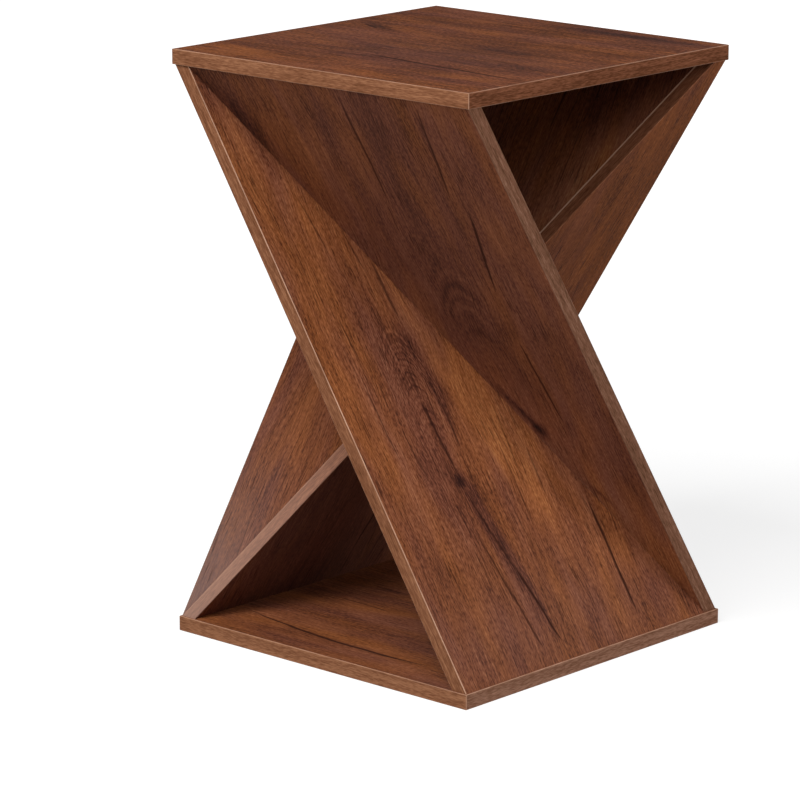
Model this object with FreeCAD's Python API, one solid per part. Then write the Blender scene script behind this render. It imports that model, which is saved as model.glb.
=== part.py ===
"""Twisted side table of laminated board: a square top and base joined by two crossed pairs of slanted legs.

The origin is at the centre of the base's underside, +Z up, sizes in millimetres. The front pair of legs is
modelled, and the rear pair is the same pair turned half a turn about the vertical axis.
"""
import FreeCAD, Part
import math
import os

Vector = FreeCAD.Vector
UP = Vector(0, 0, 1)
HALF_TURN = 180  # degrees
FULL_TURN = 360
NUMBER_ROUNDING = 1e-6  # lengths closer than this are the same

# Boards
PLAN_SIDE = 381.0  # side of the square top and of the square base
HEIGHT = 584.2  # floor to the upper face of the top
TOP_BOARD = 15.0  # thickness of the top
BASE_BOARD = 15.0  # thickness of the base
LEG_BOARD = 15.0  # thickness of each leg, square to its faces
LEG_INSET = 2.0  # the legs stand this far inside the sides of top and base
WAIST_CLEARANCE = 0.5  # the waist notch reaches this far beyond the crossing, above and below

# Edge bands
EDGE_BAND = 1.0  # thickness of the bands glued on the cut edges
ARRIS_RADIUS = 0.7  # rounding of the bands' outer edges
ARRIS_SHARE = 0.9  # the rounding takes at most this share of a band's thickness

# Dowels
DOWEL_DIAMETER = 6.0
DOWEL_CHAMFER = 0.6
DOWEL_FIT = 0.1  # the holes are this much wider than the dowels
DOWEL_END_GAP = 1.0  # room for glue at each end of a dowel
DOWEL_COVER = 5.0  # board left beyond the end of a hole
DOWEL_LEG_REACH = 11.0  # depth of the upright holes in a leg's end
DOWEL_FOLD_REACH = 14.0  # depth of the fold holes in an upper leg's edge
TOP_DOWELS = 3  # along the head of an upper leg
BASE_DOWELS = 3  # along the foot of a lower leg
FOLD_DOWELS = 4  # along the fold of a pair

# Screws from beneath the base, with a right-angled countersunk head
BASE_SCREWS = 2  # along the foot of a lower leg
SCREW_DIAMETER = 4.0
SCREW_HEAD_DIAMETER = 8.0
SCREW_HEAD_RIM = 0.4  # straight rim of the head
SCREW_TIP = 3.0  # length of the pointed end
SCREW_FIT = 0.1  # the holes are this much wider than the screws
SCREW_END_GAP = 0.5  # room beyond the point of a screw
SCREW_SINK = 1.0  # the head lies this far inside the base
SCREW_LEG_REACH = 11.0  # length of screw in the leg
RECESS_WIDTH = 1.0  # cross recess in the head
RECESS_SPAN = 4.4
RECESS_DEPTH = 1.8

# Worked out from the driving dimensions
side = PLAN_SIDE / 2
half = side - LEG_INSET
span = 2 * half
foot = BASE_BOARD
head = HEIGHT - TOP_BOARD
middle = (foot + head) / 2
rise = head - foot
# A slanted board of thickness LEG_BOARD, cut level, is leg_run wide: leg_run = LEG_BOARD / sin(tilt), where
# tan(tilt) = rise / (span - leg_run), because both of the board's faces start and end inside the span.
leg_diagonal = math.sqrt(rise**2 + span**2 - LEG_BOARD**2)
leg_run = LEG_BOARD * (rise * leg_diagonal - LEG_BOARD * span) / (rise**2 - LEG_BOARD**2)
slope = rise / (span - leg_run)
tilt = math.atan(slope)
waist_height = slope * leg_run + 2 * WAIST_CLEARANCE
band_run = EDGE_BAND / math.sin(tilt)
band_rise = EDGE_BAND * slope
arris = min(ARRIS_RADIUS, EDGE_BAND * ARRIS_SHARE)
fold_normal = Vector(math.sin(tilt), 0, math.cos(tilt))


def prism(points, direction):
    """Solid with the outline of these points, drawn out along a direction."""
    return Part.Face(Part.makePolygon(points + points[:1])).extrude(direction)


def prism_along_x(outline):
    """Solid with an outline of (y, z) points, across the legs' whole span."""
    return prism([Vector(-half, y, z) for y, z in outline], Vector(span, 0, 0))


def prism_along_y(outline):
    """Solid with an outline of (x, z) points, across the legs' whole span."""
    return prism([Vector(x, -half, z) for x, z in outline], Vector(0, span, 0))


def turned(shape):
    """The same shape, half a turn about the vertical axis."""
    return shape.rotated(Vector(0, 0, 0), UP, HALF_TURN)


def same(first, second):
    """Whether two lengths are equal, but for the rounding of numbers."""
    return math.isclose(first, second, abs_tol=NUMBER_ROUNDING)


def rounded(shape, is_arris):
    """Shape with those edges rounded whose two end points are an arris."""
    edges = [edge for edge in shape.Edges if is_arris(*[vertex.Point for vertex in edge.Vertexes])]
    return shape.makeFillet(arris, edges)


def spread(count, start, end):
    """Count places, evenly spaced between start and end, with half a space at each end."""
    return [start + (end - start) * (step + 0.5) / count for step in range(count)]


def leg_end_middle(reach):
    """Distance from a leg's outer line to the middle of an upright hole of this depth in its slanted end."""
    return (leg_run + reach / slope) / 2


# Dowels: a place is the start, direction and length of a hole, and the dowel lies in the hole

def dowel_hole(start, direction, length):
    return Part.makeCylinder((DOWEL_DIAMETER + DOWEL_FIT) / 2, length, start, direction)


def dowel(start, direction, length):
    pin_start = start + direction * DOWEL_END_GAP
    pin = Part.makeCylinder(DOWEL_DIAMETER / 2, length - 2 * DOWEL_END_GAP, pin_start, direction)
    rims = [edge for edge in pin.Edges if isinstance(edge.Curve, Part.Circle)]
    return pin.makeChamfer(DOWEL_CHAMFER, rims)


def top_dowel_places():
    """Along the head of the front upper leg, and one in the tip of the front lower leg."""
    offset = leg_end_middle(DOWEL_LEG_REACH)
    tip_middle = (EDGE_BAND + leg_run - band_run) / 2
    places = [(x, -half + offset) for x in spread(TOP_DOWELS, -half + leg_run, half - EDGE_BAND)]
    places.append((-half + offset, -half + tip_middle))
    length = DOWEL_LEG_REACH + TOP_BOARD - DOWEL_COVER
    return [(Vector(x, y, head - DOWEL_LEG_REACH), UP, length) for x, y in places]


def base_dowel_places():
    """Along the foot of the front lower leg."""
    x = half - leg_end_middle(DOWEL_LEG_REACH)
    length = BASE_BOARD - DOWEL_COVER + DOWEL_LEG_REACH
    return [(Vector(x, y, DOWEL_COVER), UP, length) for y in spread(BASE_DOWELS, -half, half)]


def fold_dowel_places():
    """Square to the upper face of the front lower leg, into the middle of the front upper leg's edge."""
    depth = LEG_BOARD - DOWEL_COVER
    mean_climb = DOWEL_FOLD_REACH * math.cos(tilt) / 2
    places = []
    for z in spread(FOLD_DOWELS, foot, head):
        x = half - (z - foot) / slope
        y = half - leg_run / 2 - (z - foot + mean_climb) / slope
        start = Vector(x, y, z) - fold_normal * depth
        places.append((start, fold_normal, depth + DOWEL_FOLD_REACH))
    return places


# Screws: a place is x and y, in the foot of the front lower leg, with the head down

def revolved(profile, x, y):
    """Solid of revolution of (radius, height) points about the upright line at x, y."""
    points = [Vector(x + radius, y, z) for radius, z in profile]
    return Part.Face(Part.makePolygon(points + points[:1])).revolve(Vector(x, y, 0), UP, FULL_TURN)


def screw_flank(extra):
    """Profile points from the rim of the head to the neck, widened all round by extra."""
    head_radius = SCREW_HEAD_DIAMETER / 2 + extra
    shank_radius = SCREW_DIAMETER / 2 + extra
    rim = SCREW_SINK + SCREW_HEAD_RIM
    return [(head_radius, rim), (shank_radius, rim + head_radius - shank_radius)]


def screw_hole(x, y):
    flank = screw_flank(SCREW_FIT / 2)
    end = BASE_BOARD + SCREW_LEG_REACH + SCREW_END_GAP
    return revolved([(0, 0), (flank[0][0], 0), *flank, (flank[1][0], end), (0, end)], x, y)


def screw(x, y):
    flank = screw_flank(0)
    end = BASE_BOARD + SCREW_LEG_REACH
    profile = [(0, SCREW_SINK), (flank[0][0], SCREW_SINK), *flank, (flank[1][0], end - SCREW_TIP), (0, end)]
    body = revolved(profile, x, y)
    for width, depth in ((RECESS_SPAN, RECESS_WIDTH), (RECESS_WIDTH, RECESS_SPAN)):
        corner = Vector(x - width / 2, y - depth / 2, SCREW_SINK)
        body = body.cut(Part.makeBox(width, depth, RECESS_DEPTH, corner))
    return body


def base_screw_places():
    x = half - leg_end_middle(SCREW_LEG_REACH + SCREW_END_GAP)
    return [(x, y) for y in spread(BASE_SCREWS, -half, half)]


# Top and base

def panel(bottom, thickness, holes):
    """Square board inside its edge bands, with the same holes for both pairs of legs."""
    width = PLAN_SIDE - 2 * EDGE_BAND
    board = Part.makeBox(width, width, thickness, Vector(-width / 2, -width / 2, bottom))
    return board.cut(holes + [turned(hole) for hole in holes])


def front_panel_band(bottom, thickness):
    """Covers the ends of the left and right bands."""
    band = Part.makeBox(PLAN_SIDE, EDGE_BAND, thickness, Vector(-side, -side, bottom))

    def is_arris(first, second):
        on_face = same(first.y, -side) and same(second.y, -side)
        on_end = same(abs(first.x), side) and same(first.x, second.x) and same(first.z, second.z)
        return on_face or on_end

    return rounded(band, is_arris)


def left_panel_band(bottom, thickness):
    """Runs between the front and back bands."""
    length = PLAN_SIDE - 2 * EDGE_BAND
    band = Part.makeBox(EDGE_BAND, length, thickness, Vector(-side, -length / 2, bottom))

    def is_arris(first, second):
        return same(first.x, -side) and same(second.x, -side) and same(first.z, second.z)

    return rounded(band, is_arris)


# Legs of the front pair

def lower_leg_section():
    """Section of the lower leg across Y: its foot on the right, its tip on the left."""
    return prism_along_y([(half, foot), (-half + leg_run, head), (-half, head), (half - leg_run, foot)])


def upper_leg_section():
    """Section of the upper leg across X: its head at the front, its tip at the back."""
    return prism_along_x([(-half, head), (-half + leg_run, head), (half, foot), (half - leg_run, foot)])


def beyond_waist():
    """The rear pair's share of the crossing: behind the upright plane through the folds."""
    bottom = middle - waist_height / 2
    corners = [Vector(-span, -span, bottom), Vector(span, span, bottom), Vector(-span, span, bottom)]
    return prism(corners, UP * waist_height)


def waist_slab():
    corner = Vector(-span, -span, middle - waist_height / 2)
    return Part.makeBox(2 * span, 2 * span, waist_height, corner)


def lower_leg(holes):
    """Full width at the foot, cut on the plane of the upper leg's back face, and notched at the waist."""
    side_line = -half + EDGE_BAND
    fold_foot = half - band_run
    fold_head = -half + leg_run - band_run
    outline = [(side_line, foot), (fold_foot, foot), (fold_head, head), (side_line, head)]
    board = lower_leg_section().common(prism_along_x(outline))
    return board.cut(holes + [beyond_waist()])


def lower_side_band():
    """On the free edge of the lower leg, at the front."""
    line = -half + EDGE_BAND
    outline = [(-half, foot), (line, foot), (line, head), (-half, head)]
    band = lower_leg_section().common(prism_along_x(outline))

    def is_arris(first, second):
        return same(first.y, -half) and same(second.y, -half) and not same(first.z, second.z)

    return rounded(band, is_arris)


def lower_fold_band():
    """On the fold edge of the lower leg, level with the upper leg's back face, and parted at the waist."""
    outer_head = -half + leg_run
    outline = [(half - band_run, foot), (half, foot), (outer_head, head), (outer_head - band_run, head)]
    band = lower_leg_section().common(prism_along_x(outline))

    def on_face(point):
        return same(point.y, half - (point.z - foot) / slope)

    def is_arris(first, second):
        return on_face(first) and on_face(second) and not same(first.z, second.z)

    return rounded(band, is_arris).cut(waist_slab())


def upper_leg(holes):
    """Full width at the head, and cut on the upper face of the lower leg."""
    line = half - EDGE_BAND
    outline = [(line, foot + band_rise), (line, head), (-half + leg_run, head)]
    return upper_leg_section().common(prism_along_y(outline)).cut(holes)


def upper_side_band():
    """On the free edge of the upper leg, at the right."""
    line = half - EDGE_BAND
    outline = [(line, foot + band_rise), (half, foot), (half, head), (line, head)]
    band = upper_leg_section().common(prism_along_y(outline))

    def is_arris(first, second):
        return same(first.x, half) and same(second.x, half) and not same(first.z, second.z)

    return rounded(band, is_arris)


def panel_pieces(name, bottom, thickness, holes):
    front = front_panel_band(bottom, thickness)
    left = left_panel_band(bottom, thickness)
    return {
        f"{name}_panel": panel(bottom, thickness, holes),
        f"{name}_band_front": front,
        f"{name}_band_back": turned(front),
        f"{name}_band_left": left,
        f"{name}_band_right": turned(left),
    }


def table():
    """Every piece of the table, by name."""
    top_dowels = top_dowel_places()
    base_dowels = base_dowel_places()
    fold_dowels = fold_dowel_places()
    screws = base_screw_places()
    top_holes = [dowel_hole(*place) for place in top_dowels]
    base_holes = [dowel_hole(*place) for place in base_dowels] + [screw_hole(*place) for place in screws]
    fold_holes = [dowel_hole(*place) for place in fold_dowels]

    pieces = panel_pieces("top", head, TOP_BOARD, top_holes) | panel_pieces("base", 0, BASE_BOARD, base_holes)
    front_pair = {
        "lower_leg": lower_leg(top_holes + base_holes + fold_holes),
        "lower_side_band": lower_side_band(),
        "lower_fold_band": lower_fold_band(),
        "upper_leg": upper_leg(top_holes + fold_holes),
        "upper_side_band": upper_side_band(),
        "top_dowels": Part.makeCompound([dowel(*place) for place in top_dowels]),
        "base_dowels": Part.makeCompound([dowel(*place) for place in base_dowels]),
        "fold_dowels": Part.makeCompound([dowel(*place) for place in fold_dowels]),
        "base_screws": Part.makeCompound([screw(*place) for place in screws]),
    }
    for name, shape in front_pair.items():
        pieces[f"front_{name}"] = shape
        pieces[f"rear_{name}"] = turned(shape)
    return pieces


os.makedirs("parts", exist_ok=True)
for node, shape in table().items():
    shape.exportStep(f"parts/{node}.step")
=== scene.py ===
import math

import bpy
from mathutils import Matrix, Vector


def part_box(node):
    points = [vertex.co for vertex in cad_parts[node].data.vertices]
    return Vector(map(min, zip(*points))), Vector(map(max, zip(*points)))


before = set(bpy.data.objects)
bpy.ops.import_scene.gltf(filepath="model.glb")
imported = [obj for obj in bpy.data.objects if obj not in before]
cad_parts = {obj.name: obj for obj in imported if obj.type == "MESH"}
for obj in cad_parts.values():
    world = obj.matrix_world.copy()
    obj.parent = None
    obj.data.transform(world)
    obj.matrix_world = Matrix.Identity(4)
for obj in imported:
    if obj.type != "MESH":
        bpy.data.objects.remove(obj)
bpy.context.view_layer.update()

# Scene lengths are metres. Grain is drawn in millimetres.
MM_PER_METRE = 1000
LEG_BOARD = 0.015  # thickness of each leg, square to its faces
FACE_TOLERANCE = 0.0001  # points this near a band's outermost one lie on its face

# Settings of Blender's nodes
NOISE_MIDDLE = 0.5
MIX_FIRST = 6  # input sockets of the two colours of a Mix node
MIX_SECOND = 7
MIX_RESULT = 2  # its output socket

# The walnut print, in millimetres
STREAK_DEPTH = 30  # reach of a streak through the board
DRIFT = 18  # how far the grain strays sideways over a hand's length
WOBBLE = 4  # how far patches and splits stray sideways
RAGGED_RINGS = 7  # how far growth rings stray from clean arches
WIDE_SPLIT = 2.8  # width from which a split is at its darkest
DARKEST_SPLIT = 0.9  # share of dark ink there
SPLIT_TAPER = 4.0  # power by which a split narrows towards its ends
SPLIT_EDGE = 1.6  # how fast its sides turn dark
FOLD_SLOPE = 0.568  # across a leg board, per millimetre along it, at the fold

# Streaks of the figure: length, width, noise detail, noise offset, and weight in the tone
FIGURE = (
    (150, 38, 2.0, 3.0, 0.42),
    (90, 7, 2.0, 5.0, 0.26),
    (60, 2.2, 1.0, 7.0, 0.4),
    (5, 1.5, 1.0, 59.0, 0.68),
)
# Fibres are near a tenth of a millimetre wide, and are drawn a millimetre wide to show
FIBRES = (20, 1.0, 2.0, 9.0)
FIBRE_WEIGHT = 0.5

# Inks of the boards from dark to pale, the two ends first
PURPLE_INK = ((0.05, "#2A1815"), (0.95, "#9C6B52"), (0.28, "#4B2A20"), (0.5, "#6D3F2E"), (0.72, "#86543F"))
GOLDEN_INK = ((0.05, "#2D170E"), (0.95, "#B07346"), (0.28, "#532E1B"), (0.5, "#7C4728"), (0.72, "#965B36"))
PORE_INK = "#2A1510"
# Grey of a painted sheen, standing for reflections of the white surroundings
PAINTED_SHEEN = "#92817E"

# Inks of the edge bands, three of them, the two ends first
WARM_INK = ((0.2, "#57331D"), (0.8, "#A06F50"), (0.5, "#7E5138"))
GREY_INK = ((0.2, "#573724"), (0.8, "#9D7560"), (0.5, "#7C5541"))
RED_INK = ((0.2, "#58321D"), (0.8, "#A36D4F"), (0.5, "#804F37"))
SCRAPED_PLASTIC = "#D0A78D"
# Pale grey of a painted sheen at the fold band's foot, standing for reflections
PALE_SHEEN = "#B8A59C"

# Edge bands
ARRIS_FROM = 0.97  # cosine of the turn away from a band's face at which its arris starts
ARRIS_FULL = 0.93  # and at which all of it is arris
PALE_LINE_FROM = 2.1  # millimetres in from the fold band's edge, where its pale line starts
PALE_LINE_FULL = 1.5
PALE_LINE_LOW = 100  # millimetres up the band, below which the line is painted faint, as its arris catches less light
PALE_LINE_HIGH = 300  # and above which it is clear
FAINT = 0.1
SHEEN_FULL_AT = -170  # millimetres up the band where its painted sheen is full: its foot
SHEEN_END_AT = 200  # and where the painted sheen ends

# The legs' span, read from the free edges of the front pair
band_low, band_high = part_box("front_lower_side_band")
half = band_high.x
foot = band_low.z
head = band_high.z
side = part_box("top_band_right")[1].x
table_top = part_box("top_panel")[1].z
base_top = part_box("base_panel")[1].z
rise = head - foot
span = 2 * half
leg_diagonal = math.sqrt(rise**2 + span**2 - LEG_BOARD**2)
leg_run = LEG_BOARD * (rise * leg_diagonal - LEG_BOARD * span) / (rise**2 - LEG_BOARD**2)
tilt = math.atan2(rise, span - leg_run)
lean_out = math.cos(tilt)
lean_up = math.sin(tilt)


def colour(code):
    """Linear colour of an sRGB hex code."""
    shares = [int(code[at:at + 2], 16) / 255 for at in (1, 3, 5)]
    return (*[s / 12.92 if s <= 0.04045 else ((s + 0.055) / 1.055) ** 2.4 for s in shares], 1.0)


def add(tree, kind, *values, sockets=None, stops=(), **settings):
    """Adds a node: its settings, its sockets in order or by name, and the colour stops of a ramp.

    A socket takes a number, a vector, another node's first output, or a chosen output.
    A ramp's two end stops come first.
    """
    node = tree.nodes.new("ShaderNode" + kind)
    for name, value in settings.items():
        setattr(node, name, value)
    given = [(node.inputs[at], value) for at, value in enumerate(values)]
    given += [(node.inputs[name], value) for name, value in (sockets or {}).items()]
    for socket, value in given:
        source = value.outputs[0] if isinstance(value, bpy.types.Node) else value
        if isinstance(source, bpy.types.NodeSocket):
            tree.links.new(source, socket)
        else:
            socket.default_value = source
    for at, (position, code) in enumerate(stops):
        stop = node.color_ramp.elements[at] if at < 2 else node.color_ramp.elements.new(position)
        stop.position = position
        stop.color = colour(code)
    return node


def new_material(name):
    """A material with no nodes, and its tree."""
    material = bpy.data.materials.new(name)
    material.use_nodes = True
    material.node_tree.nodes.clear()
    return material, material.node_tree


def new_group(name, inputs):
    """A node group of numbers in and one number out, with its two end nodes."""
    group = bpy.data.node_groups.new(name, "ShaderNodeTree")
    for label in inputs:
        group.interface.new_socket(label, in_out="INPUT", socket_type="NodeSocketFloat")
    group.interface.new_socket("Share", in_out="OUTPUT", socket_type="NodeSocketFloat")
    return group, group.nodes.new("NodeGroupInput").outputs, group.nodes.new("NodeGroupOutput").inputs


def grain_split():
    """A drying split: a dark line along the grain that tapers to nothing at both ends, straight or bowed."""
    inputs = ("Along", "Across", "Middle", "Place", "Reach", "Width", "Lean", "Bow")
    tree, given, result = new_group("grain_split", inputs)
    step = add(tree, "Math", given["Along"], given["Middle"], operation="SUBTRACT")
    end_share = add(tree, "Math", step, given["Reach"], operation="DIVIDE")
    taken = add(tree, "Math", end_share, SPLIT_TAPER, operation="POWER")
    room = add(tree, "Math", 1.0, taken, operation="SUBTRACT")
    turn = add(tree, "Math", step, given["Bow"], given["Lean"], operation="MULTIPLY_ADD")
    line = add(tree, "Math", step, turn, given["Place"], operation="MULTIPLY_ADD")
    apart = add(tree, "Math", given["Across"], line, operation="SUBTRACT")
    gap = add(tree, "Math", apart, operation="ABSOLUTE")
    gap_share = add(tree, "Math", gap, given["Width"], operation="DIVIDE")
    inside = add(tree, "Math", room, gap_share, operation="SUBTRACT")
    dark = add(tree, "Math", inside, SPLIT_EDGE, operation="MULTIPLY", use_clamp=True)
    tree.links.new(dark.outputs[0], result["Share"])
    return tree


def grain_patch():
    """A soft-edged patch, long along the grain, for streaks, stains and knots."""
    inputs = ("Along", "Across", "Middle", "Place", "Reach", "Width", "Lean")
    tree, given, result = new_group("grain_patch", inputs)
    step = add(tree, "Math", given["Along"], given["Middle"], operation="SUBTRACT")
    line = add(tree, "Math", step, given["Lean"], given["Place"], operation="MULTIPLY_ADD")
    apart = add(tree, "Math", given["Across"], line, operation="SUBTRACT")
    end_share = add(tree, "Math", step, given["Reach"], operation="DIVIDE")
    side_share = add(tree, "Math", apart, given["Width"], operation="DIVIDE")
    end_square = add(tree, "Math", end_share, end_share, operation="MULTIPLY")
    square = add(tree, "Math", side_share, side_share, end_square, operation="MULTIPLY_ADD")
    fall = add(tree, "Math", square, -1.0, operation="MULTIPLY")
    tree.links.new(add(tree, "Math", fall, operation="EXPONENT").outputs[0], result["Share"])
    return tree


def grain_arch():
    """Distance along nested arches that point up the grain, as where a saw cuts through growth rings."""
    tree, given, result = new_group("grain_arch", ("Along", "Across", "Place", "Spread"))
    apart = add(tree, "Math", given["Across"], given["Place"], operation="SUBTRACT")
    square = add(tree, "Math", apart, apart, operation="MULTIPLY")
    drop = add(tree, "Math", square, given["Spread"], operation="DIVIDE")
    tree.links.new(add(tree, "Math", given["Along"], drop, operation="ADD").outputs[0], result["Share"])
    return tree


SPLIT = grain_split()
PATCH = grain_patch()
ARCH = grain_arch()


def grain_place(tree, origin, along, across):
    """Millimetres along the grain, across it and through the board, from a point on the board."""
    axes = Matrix((along, across, along.cross(across)))
    sockets = {
        "Vector": add(tree, "TexCoord").outputs["Object"],
        "Location": -(axes @ origin) * MM_PER_METRE,
        "Rotation": axes.to_euler(),
        "Scale": (MM_PER_METRE,) * 3,
    }
    return add(tree, "Mapping", sockets=sockets)


def walnut_laminate(name, origin, along, across, seed, level=0.5, contrast=1.0, gloss=0.02,
                    patches=(), arches=(), splits=(), sheen_places=()):
    """Melamine-faced chipboard, printed as old walnut and pressed with a fine pore texture.

    To the eye: a brown that shifts in soft patches between golden and purple, feathery short fibres
    and pores, a few drying splits and knots, and a grey painted sheen that stands for reflections.

    The level is the print's middle tone, from 0 for dark to 1 for pale, and the contrast scales its figure.
    What is placed on the print is in millimetres from the origin:
    patches are (along, across, half length, half width, lean, shade, warmth),
    arches are (along, across, spread, spacing, half length, half width, strength),
    splits are (start, end, place at start, place at end, width, bow),
    and places of painted sheen are (along, across, half length, half width, lean, share).
    """
    material, tree = new_material(name)
    place = grain_place(tree, origin, along, across)
    along_mm, across_mm, through_mm = add(tree, "SeparateXYZ", place).outputs

    def streaks(length, width, detail, offset, source=place):
        scale = (1 / length, 1 / width, 1 / STREAK_DEPTH)
        stretch = {"Vector": source, "Location": (seed, offset, seed), "Scale": scale}
        drawn = add(tree, "Mapping", sockets=stretch)
        sockets = {"Vector": drawn, "Scale": 1.0, "Detail": detail, "Roughness": 0.55}
        return add(tree, "TexNoise", sockets=sockets)

    # The grain drifts sideways over a hand's length, and its marks wobble over a finger's
    drift = add(tree, "Math", streaks(160, 60, 1.0, 11.0), -NOISE_MIDDLE, operation="ADD")
    flow_across = add(tree, "Math", drift, DRIFT, across_mm, operation="MULTIPLY_ADD")
    flow = add(tree, "CombineXYZ", along_mm, flow_across, through_mm)
    wobble = add(tree, "Math", streaks(45, 9, 1.0, 23.0), -NOISE_MIDDLE, operation="ADD")
    wavy_across = add(tree, "Math", wobble, WOBBLE, across_mm, operation="MULTIPLY_ADD")
    spot = (along_mm, wavy_across)

    # The figure sets the tone, and broad areas of it are warmer
    fibres = streaks(*FIBRES, flow)
    figure = [(streaks(*sizes, flow), weight) for *sizes, weight in FIGURE]
    tone = level
    for noise, weight in [*figure, (fibres, FIBRE_WEIGHT)]:
        step = add(tree, "Math", noise, -NOISE_MIDDLE, operation="ADD")
        tone = add(tree, "Math", step, weight * contrast, tone, operation="MULTIPLY_ADD")
    warmth = add(tree, "MapRange", streaks(130, 34, 1.0, 31.0, flow), 0.3, 0.7)

    # Patches shade and warm it, and arches ring it
    for *shape, shade, warm in patches:
        patch = add(tree, "Group", *spot, *shape, node_tree=PATCH)
        tone = add(tree, "Math", patch, shade, tone, operation="MULTIPLY_ADD")
        warmth = add(tree, "Math", patch, warm, warmth, operation="MULTIPLY_ADD", use_clamp=True)
    for middle, centre, spread, spacing, reach, width, strength in arches:
        arch = add(tree, "Group", along_mm, flow_across, centre, spread, node_tree=ARCH)
        ragged = add(tree, "Math", streaks(24, 6, 1.0, 53.0), RAGGED_RINGS, arch, operation="MULTIPLY_ADD")
        count = add(tree, "Math", ragged, spacing, operation="DIVIDE")
        sockets = {"W": count, "Scale": 1.0, "Detail": 1.0}
        rings = add(tree, "TexNoise", sockets=sockets, noise_dimensions="1D")
        window = add(tree, "Group", *spot, middle, centre, reach, width, 0.0, node_tree=PATCH)
        step = add(tree, "Math", rings, -NOISE_MIDDLE, operation="ADD")
        ringed = add(tree, "Math", step, window, operation="MULTIPLY")
        tone = add(tree, "Math", ringed, strength, tone, operation="MULTIPLY_ADD")

    # Two inks of the print, mixed by the warmth, under a painted sheen
    purple = add(tree, "ValToRGB", tone, stops=PURPLE_INK)
    golden = add(tree, "ValToRGB", tone, stops=GOLDEN_INK)
    inks = {MIX_FIRST: purple, MIX_SECOND: golden}
    print_colour = add(tree, "Mix", warmth, sockets=inks, data_type="RGBA").outputs[MIX_RESULT]
    # Painted sheen: grey mixed into the print where reflections of the white surroundings would pale it
    for *shape, share in sheen_places:
        patch = add(tree, "Group", *spot, *shape, node_tree=PATCH)
        sheen_share = add(tree, "Math", patch, share, operation="MULTIPLY")
        inks = {MIX_FIRST: print_colour, MIX_SECOND: colour(PAINTED_SHEEN)}
        print_colour = add(tree, "Mix", sheen_share, sockets=inks, data_type="RGBA").outputs[MIX_RESULT]

    # Rows of pores in some places, drawn several times their real width to show, and the splits
    pores = add(tree, "MapRange", streaks(32, 1.7, 1.0, 41.0, flow), 0.54, 0.68)
    porous = add(tree, "MapRange", streaks(90, 40, 1.0, 47.0, flow), 0.42, 0.58, 0.1, 0.6)
    depth = add(tree, "Math", pores, porous, operation="MULTIPLY")
    for start, end, place_start, place_end, width, bow in splits:
        reach = abs(end - start) / 2
        middle = (start + end) / 2
        centre = (place_start + place_end) / 2 - bow * reach**2
        lean = (place_end - place_start) / (end - start)
        line = add(tree, "Group", *spot, middle, centre, reach, width, lean, bow, node_tree=SPLIT)
        crack = add(tree, "Math", line, min(width / WIDE_SPLIT, DARKEST_SPLIT), operation="MULTIPLY")
        depth = add(tree, "Math", depth, crack, operation="MAXIMUM")
    inks = {MIX_FIRST: print_colour, MIX_SECOND: colour(PORE_INK)}
    surface = add(tree, "Mix", depth, sockets=inks, data_type="RGBA").outputs[MIX_RESULT]

    relief = add(tree, "Math", fibres, depth, operation="SUBTRACT")
    bump = add(tree, "Bump", sockets={"Height": relief, "Strength": 0.4, "Distance": 0.4 / MM_PER_METRE})
    roughness = add(tree, "MapRange", fibres, 0.3, 0.7, 0.5, 0.65)
    shader = add(tree, "BsdfPrincipled", sockets={
        "Base Color": surface, "Roughness": roughness, "Normal": bump,
        "IOR": 1.5, "Specular IOR Level": gloss})
    add(tree, "OutputMaterial", shader)
    return material


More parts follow.
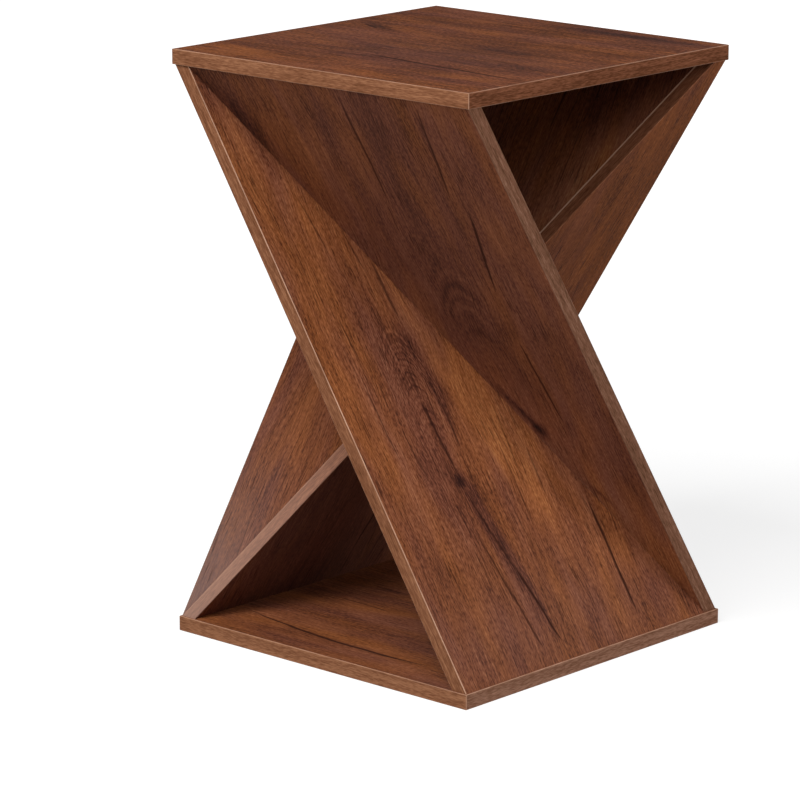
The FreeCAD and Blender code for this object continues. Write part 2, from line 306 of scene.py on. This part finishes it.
def edge_band(name, along, outward, level, inks, scraped=0.45, pale_edge=None, sheen=0.0):
    """Glued plastic edge band, printed as straight walnut.

    To the eye: short straight streaks, and a thin broken pale line where trimming scraped its arrises.
    The fold band's pale edge lies this many millimetres across from the middle of the table, and a painted
    sheen, standing for reflections, pales its low end.
    """
    material, tree = new_material(name)
    place = grain_place(tree, Vector(), along, outward.cross(along))

    def streaks(length, width, offset):
        scale = (1 / length, 1 / width, 1 / width)
        stretch = {"Vector": place, "Location": (0, offset, offset), "Scale": scale}
        drawn = add(tree, "Mapping", sockets=stretch)
        return add(tree, "TexNoise", sockets={"Vector": drawn, "Scale": 1.0, "Detail": 2.0})

    tone = level
    fibres = streaks(7, 0.9, 5.0)
    for noise, weight in ((streaks(90, 3.5, 1.0), 0.5), (fibres, 0.9)):
        step = add(tree, "Math", noise, -NOISE_MIDDLE, operation="ADD")
        tone = add(tree, "Math", step, weight, tone, operation="MULTIPLY_ADD")
    print_colour = add(tree, "ValToRGB", tone, stops=inks).outputs["Color"]

    if pale_edge:
        along_mm, across_mm, _ = add(tree, "SeparateXYZ", place).outputs
        # Painted sheen, standing for reflections, pales the band towards its foot
        sheen_share = add(tree, "MapRange", along_mm, SHEEN_FULL_AT, SHEEN_END_AT, sheen, 0.0)
        colours = {MIX_FIRST: print_colour, MIX_SECOND: colour(PALE_SHEEN)}
        print_colour = add(tree, "Mix", sheen_share, sockets=colours, data_type="RGBA").outputs[MIX_RESULT]
        # The arris there faces away from the eye, so its line is drawn a millimetre onto the band to show
        line = add(tree, "MapRange", across_mm, pale_edge - PALE_LINE_FROM, pale_edge - PALE_LINE_FULL)
        # The line is scraped plastic, and its fading towards the foot is painted shade
        strength = add(tree, "MapRange", along_mm, PALE_LINE_LOW, PALE_LINE_HIGH, FAINT, 1.0)
        bare = add(tree, "Math", line, strength, operation="MULTIPLY")
    else:
        normal = add(tree, "TexCoord").outputs["Normal"]
        facing = add(tree, "VectorMath", normal, outward, operation="DOT_PRODUCT").outputs["Value"]
        arris = add(tree, "MapRange", facing, ARRIS_FROM, ARRIS_FULL)
        wear = add(tree, "MapRange", streaks(45, 200, 9.0), 0.35, 0.65, scraped / 2, scraped)
        bare = add(tree, "Math", arris, wear, operation="MULTIPLY")

    colours = {MIX_FIRST: print_colour, MIX_SECOND: colour(SCRAPED_PLASTIC)}
    surface = add(tree, "Mix", bare, sockets=colours, data_type="RGBA").outputs[MIX_RESULT]
    bump = add(tree, "Bump", sockets={"Height": fibres, "Strength": 0.1, "Distance": 0.3 / MM_PER_METRE})
    shader = add(tree, "BsdfPrincipled", sockets={
        "Base Color": surface, "Roughness": 0.55, "Normal": bump,
        "IOR": 1.5, "Specular IOR Level": 0.03})
    add(tree, "OutputMaterial", shader)
    return material


def beech_dowel():
    """Turned beech: pale, with brown flecks a millimetre wide and six long, and a glue-dulled surface."""
    material, tree = new_material("beech_dowel")
    flecks_per_metre = (MM_PER_METRE / 1.1, MM_PER_METRE / 1.1, MM_PER_METRE / 6)
    stretch = {"Vector": add(tree, "TexCoord").outputs["Object"], "Scale": flecks_per_metre}
    drawn = add(tree, "Mapping", sockets=stretch)
    flecks = add(tree, "TexNoise", sockets={"Vector": drawn, "Scale": 1.0, "Detail": 3.0})
    shade = add(tree, "ValToRGB", flecks, stops=((0.35, "#A9825A"), (0.6, "#D3B184")))
    shader = add(tree, "BsdfPrincipled", sockets={"Base Color": shade, "Roughness": 0.7})
    add(tree, "OutputMaterial", shader)
    return material


def zinc_screw():
    """Bright zinc plate on a pressed steel screw: cool grey, with clouds of gloss near a millimetre wide."""
    material, tree = new_material("zinc_plated_steel")
    clouds_per_metre = (MM_PER_METRE / 0.83,) * 3
    stretch = {"Vector": add(tree, "TexCoord").outputs["Object"], "Scale": clouds_per_metre}
    drawn = add(tree, "Mapping", sockets=stretch)
    clouds = add(tree, "TexNoise", sockets={"Vector": drawn, "Scale": 1.0, "Detail": 3.0})
    shade = add(tree, "ValToRGB", clouds, stops=((0.3, "#A9AAA8"), (0.7, "#CFCFCC")))
    roughness = add(tree, "MapRange", clouds, 0.3, 0.7, 0.28, 0.45)
    shader = add(tree, "BsdfPrincipled", sockets={
        "Base Color": shade, "Metallic": 1.0, "Roughness": roughness})
    add(tree, "OutputMaterial", shader)
    return material


def dress(node, material):
    """Gives a node of the frame its finish."""
    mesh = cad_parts[node].data
    mesh.materials.clear()
    mesh.materials.append(material)


# Directions
X = Vector((1, 0, 0))
Y = Vector((0, 1, 0))
UP = Vector((0, 0, 1))
front_lower_along = Vector((-lean_out, 0, lean_up))
front_upper_along = Vector((0, -lean_out, lean_up))
front_fold_along = Vector((-1, -1, rise / (span - leg_run))).normalized()
front_fold_outward = Vector((0, lean_up, lean_out))
front_fold_across = front_fold_outward.cross(front_fold_along)
no_turn = Matrix.Identity(3)
half_turn = Matrix.Rotation(math.pi, 3, "Z")

# Top
dress("top_panel", walnut_laminate(
    "walnut_laminate_top", Vector((-side, -side, table_top)), X, Y, seed=2.0,
    level=0.405, contrast=1.25, gloss=0.003,
    patches=[
        (60, 30, 70, 30, 0.0, 0.12, 0.5),  # golden corner
        (200, 125, 110, 26, 0.0, -0.05, -0.6),  # purple streak
        (310, 252, 80, 50, 0.0, -0.04, 0.4),  # warm stain
        (290, 356, 110, 10, 0.0, -0.28, -0.6),  # dark streak along the back
        (150, 10, 90, 16, 0.0, 0.06, 0.2),  # pale streak along the front
        (260, 165, 70, 12, 0.0, -0.07, -0.2),  # thin dark streak
        (50, 240, 32, 7, -0.4, -0.25, -0.4),  # stain round the short split
        (110, 300, 70, 8, 0.0, -0.1, -0.2),  # two more thin dark streaks
        (250, 200, 80, 7, 0.0, -0.1, -0.3),
    ],
    splits=[
        (150, 381, 104, 82, 3.2, 0.0),
        (30, 60, 240, 228, 3.4, 0.0),
    ],
    # Painted sheen: a faint grey over the middle of the top
    sheen_places=[(190, 150, 250, 60, 0.0, 0.02)]))

# Base
dress("base_panel", walnut_laminate(
    "walnut_laminate_base", Vector((-side, -side, base_top)), X, Y, seed=5.0,
    splits=[
        (27, 310, 65, 45, 2.8, 0.00065),
        (65, 155, 155, 150, 1.8, 0.0),
        (75, 115, 207, 207, 1.8, 0.0),
    ]))

# Front lower leg
dress("front_lower_leg", walnut_laminate(
    "walnut_laminate_front_lower_leg", Vector((half, -half, foot)), front_lower_along, Y, seed=8.0,
    level=0.52, contrast=1.2,
    patches=[
        (345, 26, 100, 17, 0.0, 0.1, 0.6),  # golden streak by the free edge
        (300, 98, 75, 28, 0.0, -0.02, -0.6),  # purple ground of the arches
        (235, 175, 100, 24, -0.25, 0.12, 0.6),  # golden streak beside the knot
        (250, 205, 220, 30, -0.55, 0.13, 0.2),  # printed pale streak plus painted light along the fold
        (332, 187, 400, 6, -FOLD_SLOPE, -0.08, 0.0),  # painted shade in the crease at the fold
        (520, 30, 90, 60, 0.0, 0.05, 0.1),  # paler tip
        (300, 131, 40, 6, -0.1, -0.24, -0.3),  # dark streaks beside the arches
        (225, 137, 85, 12, 0.0, -0.11, -0.2),
        (212, 197, 40, 16, 0.0, 0.08, 0.2),  # pale spot
        (108, 293, 16, 10, -0.5, -0.12, -0.2),  # dark spot by the fold
        (340, 126, 16, 10, 0.0, -0.16, -0.3),  # dark spots beside the arches
        (285, 143, 18, 8, 0.0, -0.18, -0.3),
        (197, 111, 7, 6, 0.0, -0.38, -0.4),  # knot
        (180, 123, 18, 8, 0.0, -0.18, -0.5),  # its dark rim
        (245, 113, 50, 8, 0.0, -0.15, -0.3),  # dark streak above it
        (118, 129, 70, 9, -0.2, -0.22, -0.7),  # purple streak below it
        (50, 60, 60, 50, 0.0, 0.0, -0.3),  # purple stains at the foot
        (38, 312, 24, 18, 0.0, -0.08, -0.5),
    ],
    arches=[(305, 106, 14.0, 5.0, 60, 36, 0.7)],
    splits=[
        (435, 362, 123, 127, 2.0, 0.0),
        (385, 333, 49, 52, 1.8, 0.0),
        (311, 228, 43, 47, 1.8, 0.0),
        (265, 200, 65, 73, 1.6, 0.0),
        (285, 200, 107, 112, 2.2, 0.0),
        (280, 225, 132, 131, 2.0, 0.0),
        (188, 96, 112, 132, 2.0, 0.0),
        (108, 15, 131, 152, 2.4, 0.0),
        (144, 10, 102, 124, 2.0, 0.0),
        (150, 17, 269, 267, 2.6, 0.0),
        (512, 440, 65, 74, 1.6, 0.0),
        (472, 420, 103, 109, 1.6, 0.0),
        (262, 165, 199, 193, 1.4, 0.0),
        (228, 130, 184, 181, 1.4, 0.0),
        (200, 105, 163, 168, 1.3, 0.0),
        (215, 160, 218, 216, 1.4, 0.0),
        (190, 140, 230, 229, 1.3, 0.0),
    ],
    # Painted sheen: a faint grey towards the foot
    sheen_places=[(20, 150, 90, 220, 0.0, 0.05)]))

# Front upper leg
dress("front_upper_leg", walnut_laminate(
    "walnut_laminate_front_upper_leg", Vector((-half, half - leg_run, foot)), front_upper_along, X,
    seed=13.0, contrast=0.9,
    patches=[
        (600, 110, 60, 25, 0.0, 0.05, 0.4),  # golden streak at the head
        (620, 238, 60, 20, 0.0, -0.1, -0.6),  # purple streak at the head
        (425, 238, 90, 36, 0.0, -0.13, -0.6),  # purple ground of the arches
        (225, 320, 60, 60, 0.0, 0.07, 0.0),  # pale stain
        (590, 62, 50, 16, -0.3, -0.22, -0.3),  # dark streak at the head: print, and painted shade by the fold
        (660, 15, 25, 50, 0.0, -0.15, 0.0),  # painted shadow under the top's corner
        (252, 251, 26, 6, -0.6, -0.42, -0.4),  # streak that ends in a knot at the fold
        (229, 266, 9, 8, 0.0, -0.42, -0.4),  # that knot
        (150, 308, 12, 4, -0.8, -0.25, -0.3),  # small dark mark at the fold
        (120, 335, 120, 45, -0.6, 0.15, 0.1),  # pale tip
        (250, 250, 200, 30, -FOLD_SLOPE, 0.07, 0.0),  # painted light along the fold, lifting the crease's shade
        (330, 200, 400, 300, 0.0, 0.02, -0.3),  # the whole board is a little purple
        (620, 190, 70, 200, 0.0, -0.07, 0.0),  # painted shade under the top's overhang
    ],
    arches=[(395, 245, 26.0, 16.0, 60, 34, 0.5)],
    splits=[
        (654, 534, 309, 296, 2.2, 0.0),
        (530, 413, 313, 297, 2.4, 0.0),
        (356, 242, 296, 304, 2.2, 0.0),
        (659, 512, 211, 209, 2.2, 0.0),
    ],
    # Painted sheen: a faint grey over the whole board
    sheen_places=[(330, 200, 400, 300, 0.0, 0.03)]))

# Rear lower leg. Its knot, arches and splits show from behind.
dress("rear_lower_leg", walnut_laminate(
    "walnut_laminate_rear_lower_leg", Vector((leg_run - half, -half, foot)),
    half_turn @ front_lower_along, Y, seed=17.0, level=0.48, contrast=0.75,
    patches=[
        (80, 150, 200, 200, 0.0, 0.0, -0.8),  # purple foot
        (500, 350, 150, 100, 0.0, -0.06, 0.6),  # golden tip
        (300, 270, 75, 26, 0.0, -0.04, -0.5),  # purple ground of the arches
        (260, 320, 120, 18, 0.0, 0.1, 0.5),  # golden streak
        (215, 262, 8, 6, 0.0, -0.36, -0.4),  # knot
        (160, 256, 60, 8, 0.12, -0.2, -0.5),  # purple streak below it
    ],
    arches=[(310, 272, 14.0, 6.0, 60, 34, 0.6)],
    splits=[
        (205, 110, 262, 248, 2.2, 0.0),
        (150, 30, 215, 206, 2.0, 0.0),
        (120, 25, 330, 334, 2.0, 0.0),
        (300, 225, 318, 315, 1.8, 0.0),
        (380, 315, 286, 290, 1.8, 0.0),
    ],
    # Painted sheen: a faint grey towards the foot
    sheen_places=[(60, 150, 120, 120, 0.0, 0.08)]))

# Rear upper leg. Its knot, arches and most of its splits show from behind.
dress("rear_upper_leg", walnut_laminate(
    "walnut_laminate_rear_upper_leg", Vector((-half, -half, foot)),
    half_turn @ front_upper_along, X, seed=21.0, level=0.52,
    patches=[
        (640, 300, 45, 80, 0.0, -0.14, -0.4),  # painted shade under the top, deep in the niche
        (540, 290, 120, 34, FOLD_SLOPE, 0.2, 0.0),  # painted light along the fold, in the niche
        (60, 40, 150, 80, 0.0, -0.05, 0.0),  # darker tip
        (440, 122, 90, 34, 0.0, -0.08, -0.5),  # purple ground of the arches
        (345, 150, 9, 7, 0.0, -0.36, -0.4),  # knot
    ],
    arches=[(430, 120, 22.0, 12.0, 60, 34, 0.5)],
    splits=[
        (640, 520, 60, 66, 2.2, 0.0),
        (560, 440, 158, 150, 2.2, 0.0),
        (655, 560, 215, 212, 2.0, 0.0),
        (480, 390, 70, 76, 2.0, 0.0),
    ],
    # Painted sheen: the grey gloss at the foot
    sheen_places=[(15, 5, 130, 70, 0.0, 0.4)]))

# Edge bands of the top and the base
# The right bands of the top and the base are printed darker, the top's in the red ink
for panel, level, right_level, right_ink in (("top", 0.54, 0.33, RED_INK), ("base", 0.62, 0.58, GREY_INK)):
    for place, along, outward, tone, ink in (
            ("front", X, -Y, level, WARM_INK),
            ("back", X, Y, level, WARM_INK),
            ("left", Y, -X, level, WARM_INK),
            ("right", Y, X, right_level, right_ink)):
        dress(f"{panel}_band_{place}", edge_band(f"walnut_band_{panel}_{place}", along, outward, tone, ink))

# Edge bands of the legs. The fold band's pale line is placed from the far edge of its face.
fold_band_points = [point.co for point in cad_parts["front_lower_fold_band"].data.vertices]
fold_face = max(front_fold_outward.dot(point) for point in fold_band_points)
on_face = [point for point in fold_band_points if front_fold_outward.dot(point) > fold_face - FACE_TOLERANCE]
fold_edge = max(front_fold_across.dot(point) for point in on_face) * MM_PER_METRE
# The fold band gets its scraped pale edge, and a painted sheen at its foot
fold_scrape_and_sheen = {"pale_edge": fold_edge, "sheen": 0.31}
# The upper side band, which faces right, is printed darker and in the grey ink
for band, along, outward, level, ink, wear in (
        ("lower_side_band", front_lower_along, -Y, 0.52, WARM_INK, {"scraped": 0.7}),
        ("upper_side_band", front_upper_along, X, 0.43, GREY_INK, {"scraped": 0.1}),
        ("lower_fold_band", front_fold_along, front_fold_outward, 0.56, RED_INK, fold_scrape_and_sheen)):
    for pair, turn in (("front", no_turn), ("rear", half_turn)):
        finish = edge_band(f"walnut_band_{pair}_{band}", turn @ along, turn @ outward, level, ink, **wear)
        dress(f"{pair}_{band}", finish)

# Dowels and screws
dowel_finish = beech_dowel()
screw_finish = zinc_screw()
for pair in ("front", "rear"):
    for dowels in ("top_dowels", "base_dowels", "fold_dowels"):
        dress(f"{pair}_{dowels}", dowel_finish)
    dress(f"{pair}_base_screws", screw_finish)


def seen_directly(tree):
    """1 where the camera sees a surface, also in gloss or through glass, and 0 for light that bounces."""
    ray = add(tree, "LightPath").outputs
    shown = add(tree, "Math", ray["Is Camera Ray"], ray["Is Glossy Ray"], operation="MAXIMUM")
    return add(tree, "Math", shown, ray["Is Transmission Ray"], operation="MAXIMUM")


# Floor: pale grey to the light, white to the eye, with the table's shadow on it
FLOOR_SIDE = 60
GLOW_NEAR = 0.76  # beside the table, where the lamps add the rest of the white
GLOW_FAR = 1.0  # away from the table, where the lamps fade
NEAR = 0.5  # metres from the middle of the table
FAR = 2.5
bpy.ops.object.select_all(action="DESELECT")
bpy.ops.mesh.primitive_plane_add(size=FLOOR_SIDE)
floor = bpy.context.object
floor.name = "floor"
floor_finish, floor_tree = new_material("pale_floor")
floor_place = add(floor_tree, "TexCoord").outputs["Object"]
away = add(floor_tree, "VectorMath", floor_place, operation="LENGTH").outputs["Value"]
glow_strength = add(floor_tree, "MapRange", away, NEAR, FAR, GLOW_NEAR, GLOW_FAR)
glow = add(floor_tree, "Emission", colour("#FFFFFF"), glow_strength)
seen = add(floor_tree, "AddShader", add(floor_tree, "BsdfDiffuse", colour("#9F9F9F")), glow)
lit = add(floor_tree, "BsdfDiffuse", colour("#D2D2D2"))
add(floor_tree, "OutputMaterial", add(floor_tree, "MixShader", seen_directly(floor_tree), lit, seen))
floor.data.materials.append(floor_finish)

# World: white to the eye and in reflections, with no light of its own on the table
world = bpy.data.worlds.new("studio")
bpy.context.scene.world = world
world.use_nodes = True
world.node_tree.nodes.clear()
backdrop = add(world.node_tree, "Background", colour("#FFFFFF"), seen_directly(world.node_tree))
add(world.node_tree, "OutputWorld", backdrop)

# Lamps: square softboxes aimed at the middle of the table, each with its direction and its power in watts
SOFTBOX_SIDE = 2.4
SOFTBOX_DISTANCE = 5.0
for name, direction, power in (
        ("key_softbox", (0.056, -0.64, 0.766), 228),
        ("front_right_softbox", (0.628, -0.527, 0.574), 60),
        ("right_softbox", (0.908, 0.33, 0.259), 78),
        ("rear_softbox", (-0.251, 0.937, 0.242), 50)):
    lamp = bpy.data.lights.new(name, "AREA")
    lamp.size = SOFTBOX_SIDE
    lamp.energy = power
    softbox = bpy.data.objects.new(name, lamp)
    bpy.context.scene.collection.objects.link(softbox)
    toward = Vector(direction).normalized()
    softbox.location = UP * table_top / 2 + toward * SOFTBOX_DISTANCE
    softbox.rotation_euler = toward.to_track_quat("Z", "Y").to_euler()

# Camera, as the photograph was taken, with the table a little right of the middle
CAMERA_AZIMUTH = math.radians(42.37)
CAMERA_ELEVATION = math.radians(13.87)
CAMERA_DISTANCE = 4.0917
CAMERA_LENS = 186.9  # millimetres, on a 36 mm sensor
AIM_HEIGHT = 0.2329
AIM_ASIDE = -0.0495
camera = bpy.data.objects.new("camera", bpy.data.cameras.new("camera"))
bpy.context.scene.collection.objects.link(camera)
right = Vector((math.cos(CAMERA_AZIMUTH), math.sin(CAMERA_AZIMUTH), 0))
level_back = Vector((math.sin(CAMERA_AZIMUTH), -math.cos(CAMERA_AZIMUTH), 0))
back = level_back * math.cos(CAMERA_ELEVATION) + UP * math.sin(CAMERA_ELEVATION)
camera_axes = Matrix((right, back.cross(right), back)).transposed()
camera_place = UP * AIM_HEIGHT + right * AIM_ASIDE + back * CAMERA_DISTANCE
camera.matrix_world = Matrix.Translation(camera_place) @ camera_axes.to_4x4()
camera.data.lens = CAMERA_LENS
bpy.context.scene.camera = camera
bpy.context.scene.view_settings.view_transform = "Standard"
